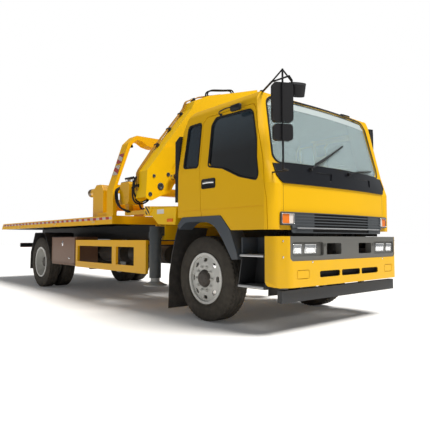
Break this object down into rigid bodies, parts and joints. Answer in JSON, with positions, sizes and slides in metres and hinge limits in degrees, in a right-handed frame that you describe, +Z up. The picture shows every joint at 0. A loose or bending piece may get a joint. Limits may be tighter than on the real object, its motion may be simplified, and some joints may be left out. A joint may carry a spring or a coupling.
{
  "type": "flatbed tow truck with crane",
  "caption": "Cab-over flatbed recovery truck with a sliding and tilting bed, a hoop at its head, a folded knuckle boom crane behind the cab and outriggers.",
  "frame": {"origin": "on the ground under the middle of the truck's overall box", "axes": "+X forward, +Y to the truck's left, +Z up"},
  "size_m": [9.2331, 2.6206, 3.532],
  "materials": {
    "yellow_paint": "yellow paint",
    "black_paint": "black paint",
    "grey_paint": "grey paint",
    "brown_paint": "brown paint",
    "cast_black": "cast black",
    "silver_rim": "silver rim",
    "tyre": "tyre",
    "grey_plastic": "grey plastic",
    "black_plastic": "black plastic",
    "lamp_glass": "lamp glass",
    "orange_lamp": "orange lamp",
    "red_lamp": "red lamp",
    "glass": "glass",
    "seat_cloth": "seat cloth",
    "steel_rod": "steel rod"
  },
  "bodies": {
    "chassis": {"frame_rails": "black_paint", "engine_block": "cast_black", "front_axle": "cast_black", "rear_axle": "cast_black", "side_tanks": "black_paint", "front_bumper": "yellow_paint", "bumper_insert": "grey_plastic", "headlamps": "lamp_glass", "cab_steps": "black_plastic", "mudguards": "black_plastic", "side_guards": "yellow_paint", "toolboxes": "brown_paint", "tail_lamps": "red_lamp", "crane_base": "yellow_paint", "crane_controls": "yellow_paint"},
    "cab": {"cab_shell": "yellow_paint", "cab_glass": "glass", "screen_garnish": "black_plastic", "front_grille": "grey_plastic", "cab_lamps": "orange_lamp", "arch_flares": "grey_paint", "intake_duct": "black_plastic", "mirrors": "black_plastic", "seats": "seat_cloth", "dashboard": "black_plastic"},
    "door_left": {"door_left": "yellow_paint", "door_glass_left": "glass", "door_mirror": "black_plastic"},
    "door_right": {"door_right": "yellow_paint", "door_glass_right": "glass"},
    "knuckle_left": {"knuckle_left": "cast_black"},
    "knuckle_right": {"knuckle_right": "cast_black"},
    "front_wheel_left": {"front_tyre_left": "tyre", "front_rim_left": "silver_rim"},
    "front_wheel_right": {"front_tyre_right": "tyre", "front_rim_right": "silver_rim"},
    "rear_wheels_left": {"twin_tyres_left": "tyre", "twin_rims_left": "silver_rim"},
    "rear_wheels_right": {"twin_tyres_right": "tyre", "twin_rims_right": "silver_rim"},
    "toolbox_lid_left": {"toolbox_lid_left": "brown_paint"},
    "toolbox_lid_right": {"toolbox_lid_right": "brown_paint"},
    "tilt_frame": {"tilt_frame": "black_paint"},
    "bed": {"bed": "yellow_paint", "headboard_hoop": "yellow_paint", "winch": "yellow_paint"},
    "tilt_barrels": {"tilt_barrels": "black_paint"},
    "tilt_rods": {"tilt_rods": "steel_rod"},
    "outrigger_left": {"outrigger_left": "grey_paint"},
    "outrigger_right": {"outrigger_right": "grey_paint"},
    "outrigger_leg_left": {"outrigger_leg_left": "steel_rod"},
    "outrigger_leg_right": {"outrigger_leg_right": "steel_rod"},
    "crane_column": {"crane_column": "yellow_paint"},
    "inner_boom": {"inner_boom": "yellow_paint"},
    "outer_boom": {"outer_boom": "yellow_paint"},
    "boom_extension": {"boom_extension": "yellow_paint"},
    "luff_barrel": {"luff_barrel": "yellow_paint"},
    "luff_rod": {"luff_rod": "steel_rod"},
    "fold_barrel": {"fold_barrel": "grey_paint"},
    "fold_rod": {"fold_rod": "steel_rod"}
  },
  "joints": [
    {"name": "cab_tilt", "type": "hinge", "parent": "chassis", "child": "cab", "pos_m": [4.203, 0, 1.11], "axis": [0, 1, 0], "range_deg": [0, 42]},
    {"name": "door_left", "type": "hinge", "parent": "cab", "child": "door_left", "pos_m": [4.248, 1.19, 1.7], "axis": [0, 0, -1], "range_deg": [0, 70]},
    {"name": "steer_left", "type": "hinge", "parent": "chassis", "child": "knuckle_left", "pos_m": [3.173, 0.8, 0.51], "axis": [0, 0, 1], "range_deg": [-30, 30]},
    {"name": "front_wheel_left", "type": "hinge", "parent": "knuckle_left", "child": "front_wheel_left", "pos_m": [3.173, 0.992, 0.51], "axis": [0, 1, 0], "continuous": true},
    {"name": "rear_wheels_left", "type": "hinge", "parent": "chassis", "child": "rear_wheels_left", "pos_m": [-2.107, 0.907, 0.51], "axis": [0, 1, 0], "continuous": true},
    {"name": "toolbox_lid_left", "type": "hinge", "parent": "chassis", "child": "toolbox_lid_left", "pos_m": [-0.927, 1.184, 0.527], "axis": [-1, 0, 0], "range_deg": [0, 90]},
    {"name": "outrigger_beam_left", "type": "slide", "parent": "chassis", "child": "outrigger_left", "axis": [0, 1, 0], "range_m": [0, 0.75]},
    {"name": "outrigger_leg_left", "type": "slide", "parent": "outrigger_left", "child": "outrigger_leg_left", "axis": [0, 0, -1], "range_m": [0, 0.34]},
    {"name": "door_right", "type": "hinge", "parent": "cab", "child": "door_right", "pos_m": [4.248, -1.19, 1.7], "axis": [0, 0, 1], "range_deg": [0, 70]},
    {"name": "steer_right", "type": "hinge", "parent": "chassis", "child": "knuckle_right", "pos_m": [3.173, -0.8, 0.51], "axis": [0, 0, 1], "range_deg": [-30, 30]},
    {"name": "front_wheel_right", "type": "hinge", "parent": "knuckle_right", "child": "front_wheel_right", "pos_m": [3.173, -0.992, 0.51], "axis": [0, 1, 0], "continuous": true},
    {"name": "rear_wheels_right", "type": "hinge", "parent": "chassis", "child": "rear_wheels_right", "pos_m": [-2.107, -0.907, 0.51], "axis": [0, 1, 0], "continuous": true},
    {"name": "toolbox_lid_right", "type": "hinge", "parent": "chassis", "child": "toolbox_lid_right", "pos_m": [-0.927, -1.184, 0.527], "axis": [1, 0, 0], "range_deg": [0, 90]},
    {"name": "outrigger_beam_right", "type": "slide", "parent": "chassis", "child": "outrigger_right", "axis": [0, -1, 0], "range_m": [0, 0.75]},
    {"name": "outrigger_leg_right", "type": "slide", "parent": "outrigger_right", "child": "outrigger_leg_right", "axis": [0, 0, -1], "range_m": [0, 0.34]},
    {"name": "bed_tilt", "type": "hinge", "parent": "chassis", "child": "tilt_frame", "pos_m": [-3.577, 0, 0.9], "axis": [0, -1, 0], "range_deg": [0, 16]},
    {"name": "bed_slide", "type": "slide", "parent": "tilt_frame", "child": "bed", "axis": [-1, 0, 0], "range_m": [0, 3.25]},
    {"name": "tilt_barrels", "type": "hinge", "parent": "chassis", "child": "tilt_barrels", "pos_m": [-1.427, 0, 0.8], "axis": [0, -1, 0], "range_deg": [0, 37.67]},
    {"name": "tilt_rods", "type": "slide", "parent": "tilt_barrels", "child": "tilt_rods", "axis": [0.9845, 0, 0.1752], "range_m": [0, 0.3204]},
    {"name": "crane_luff", "type": "hinge", "parent": "crane_column", "child": "inner_boom", "pos_m": [1.943, 0.25, 2.72], "axis": [-1, 0, 0], "range_deg": [0, 100]},
    {"name": "crane_slew", "type": "hinge", "parent": "chassis", "child": "crane_column", "pos_m": [1.943, 0, 1.5], "axis": [0, 0, -1], "range_deg": [0, 80]},
    {"name": "crane_knuckle", "type": "hinge", "parent": "inner_boom", "child": "outer_boom", "pos_m": [1.943, -1.03, 1.72], "axis": [1, 0, 0], "range_deg": [0, 130]},
    {"name": "luff_barrel", "type": "hinge", "parent": "crane_column", "child": "luff_barrel", "pos_m": [1.943, 0.25, 1.64], "axis": [-1, 0, 0], "range_deg": [0, 18.27]},
    {"name": "luff_rod", "type": "slide", "parent": "luff_barrel", "child": "luff_rod", "axis": [0, -0.4545, 0.8907], "range_m": [0, 0.6736]},
    {"name": "fold_barrel", "type": "hinge", "parent": "inner_boom", "child": "fold_barrel", "pos_m": [1.943, -0.35, 2.42], "axis": [-1, 0, 0], "range_deg": [0, 12.41]},
    {"name": "fold_rod", "type": "slide", "parent": "fold_barrel", "child": "fold_rod", "axis": [0, -0.666, -0.7459], "range_m": [0, 0.3641]},
    {"name": "boom_extension", "type": "slide", "parent": "outer_boom", "child": "boom_extension", "axis": [0, 0.9563, 0.2923], "range_m": [0, 1]}
  ],
  "couplings": [
    {"joint": "steer_right", "follows": "steer_left", "ratio": 1},
    {"joint": "tilt_barrels", "follows": "bed_tilt", "ratio": 2.3536},
    {"joint": "tilt_rods", "follows": "bed_tilt", "m_per_rad": 1.1439},
    {"joint": "crane_slew", "follows": "crane_luff", "ratio": 0.8},
    {"joint": "crane_knuckle", "follows": "crane_luff", "ratio": 1.3},
    {"joint": "luff_barrel", "follows": "crane_luff", "ratio": 0.18263},
    {"joint": "luff_rod", "follows": "crane_luff", "m_per_rad": 0.38536},
    {"joint": "fold_barrel", "follows": "crane_luff", "ratio": 0.12403},
    {"joint": "fold_rod", "follows": "crane_luff", "m_per_rad": 0.20802}
  ]
}
